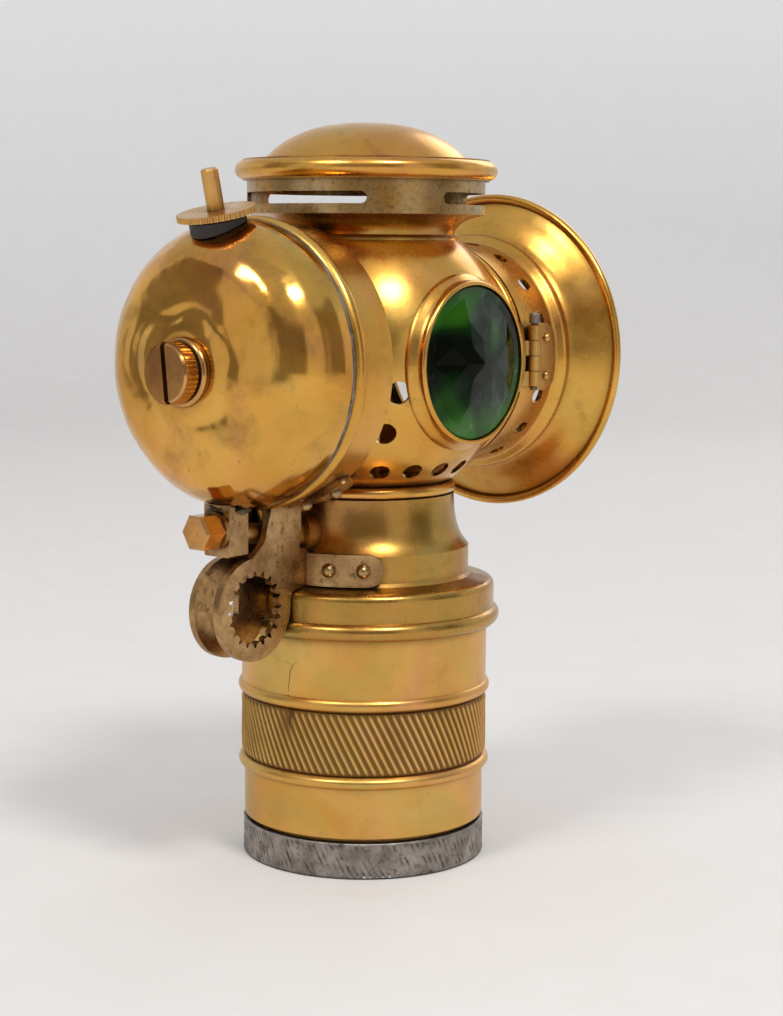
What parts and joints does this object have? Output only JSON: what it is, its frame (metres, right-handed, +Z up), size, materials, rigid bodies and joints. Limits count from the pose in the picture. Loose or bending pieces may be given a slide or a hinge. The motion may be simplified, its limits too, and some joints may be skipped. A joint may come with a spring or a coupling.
{
  "type": "carbide lamp",
  "caption": "Small brass acetylene cycle lamp: round body with side jewels, water tank behind, hinged bell lens in front, screw-on carbide chamber below.",
  "frame": {"origin": "centre of the underside of the base cap", "axes": "+Z up along the carbide chamber's axis, -Y towards the bell and the lens, +Y towards the water tank, -X towards the green jewel and the bell's hinge"},
  "size_m": [0.0716, 0.106, 0.1582],
  "materials": {
    "polished_brass": "polished, tarnished and finely scratched",
    "worn_nickel": "brass with the rest of worn nickel plating",
    "bracket_steel": "browned and worn",
    "base_steel": "dark, worn bright on the knurl",
    "solder": "dull grey, rough",
    "black_rubber": "matt",
    "green_glass": "cut and faceted",
    "red_glass": "cut and faceted",
    "clear_glass": "clear, flat",
    "silvered": "polished reflector",
    "lava": "matt mineral burner tip"
  },
  "bodies": {
    "lamp_body": {"body_shell": "polished_brass", "green_bezel": "polished_brass", "green_jewel": "green_glass", "red_bezel": "polished_brass", "red_jewel": "red_glass", "front_ring": "polished_brass", "reflector": "silvered", "burner_plate": "polished_brass", "burner_stem": "polished_brass", "burner_tip": "lava", "chimney_neck": "polished_brass", "chimney_band": "worn_nickel", "chimney_lid": "polished_brass", "tank_band": "polished_brass", "tank_seam": "solder", "tank_front_wall": "polished_brass", "tank_dome": "polished_brass", "filler_boss": "polished_brass", "valve_bung": "black_rubber", "feed_pipe": "polished_brass", "water_tube": "polished_brass", "tube_collar": "polished_brass", "clean_out_block": "bracket_steel", "generator_cap": "polished_brass", "gas_plate": "polished_brass", "drip_tube": "polished_brass", "neck_ring": "polished_brass", "bracket_cheek_left": "bracket_steel", "bracket_cheek_right": "bracket_steel", "bracket_rivets": "worn_nickel", "hinge_leaf_body": "polished_brass", "hinge_pin": "polished_brass", "catch_spring": "polished_brass"},
    "bell_door": {"bell": "polished_brass", "bell_lens": "clear_glass", "lens_ring": "polished_brass", "hinge_leaf_door": "polished_brass", "hinge_rivets": "polished_brass", "catch_stud": "polished_brass"},
    "chamber_seal": {"chamber_gasket": "black_rubber"},
    "chamber": {"carbide_chamber": "polished_brass", "grip_band": "polished_brass"},
    "base_seal": {"base_gasket": "black_rubber"},
    "base": {"base_cap": "base_steel"},
    "filler_seal": {"filler_washer": "black_rubber"},
    "filler": {"filler_cap": "polished_brass"},
    "clean_out_seal": {"clean_out_washer": "bracket_steel"},
    "clean_out": {"clean_out_screw": "polished_brass"},
    "valve_seal": {"valve_washer": "polished_brass"},
    "valve": {"valve_disc": "polished_brass", "valve_spindle": "polished_brass"}
  },
  "joints": [
    {"name": "bell_hinge", "type": "hinge", "parent": "lamp_body", "child": "bell_door", "pos_m": [-0.0263, -0.0257, 0.1083], "axis": [0, 0, -1], "range_deg": [0, 110]},
    {"name": "chamber_travel", "type": "slide", "parent": "lamp_body", "child": "chamber_seal", "axis": [0, 0, -1], "range_m": [0, 0.0045]},
    {"name": "chamber_turn", "type": "hinge", "parent": "chamber_seal", "child": "chamber", "pos_m": [0, 0, 0.058], "axis": [0, 0, -1], "range_deg": [0, 1080]},
    {"name": "base_travel", "type": "slide", "parent": "chamber", "child": "base_seal", "axis": [0, 0, -1], "range_m": [0, 0.003]},
    {"name": "base_turn", "type": "hinge", "parent": "base_seal", "child": "base", "pos_m": [0, 0, 0.002], "axis": [0, 0, -1], "range_deg": [0, 1080]},
    {"name": "filler_travel", "type": "slide", "parent": "lamp_body", "child": "filler_seal", "axis": [0, 1, 0], "range_m": [0, 0.004]},
    {"name": "filler_turn", "type": "hinge", "parent": "filler_seal", "child": "filler", "pos_m": [0, 0.057, 0.1074], "axis": [0, 1, 0], "range_deg": [0, 1440]},
    {"name": "clean_out_travel", "type": "slide", "parent": "lamp_body", "child": "clean_out_seal", "axis": [0, 1, 0], "range_m": [0, 0.0032]},
    {"name": "clean_out_turn", "type": "hinge", "parent": "clean_out_seal", "child": "clean_out", "pos_m": [0, 0.048, 0.0752], "axis": [0, 1, 0], "range_deg": [0, 1440]},
    {"name": "valve_travel", "type": "slide", "parent": "lamp_body", "child": "valve_seal", "axis": [0, 0.2334, 0.9724], "range_m": [0, 0.002]},
    {"name": "valve_turn", "type": "hinge", "parent": "valve_seal", "child": "valve", "pos_m": [0, 0.0455, 0.1385], "axis": [0, 0.2334, 0.9724], "range_deg": [0, 720]}
  ],
  "couplings": [
    {"joint": "chamber_travel", "follows": "chamber_turn", "m_per_rad": 0.00023873},
    {"joint": "base_travel", "follows": "base_turn", "m_per_rad": 0.00015915},
    {"joint": "filler_travel", "follows": "filler_turn", "m_per_rad": 0.00015915},
    {"joint": "clean_out_travel", "follows": "clean_out_turn", "m_per_rad": 0.00012732},
    {"joint": "valve_travel", "follows": "valve_turn", "m_per_rad": 0.00015915}
  ]
}
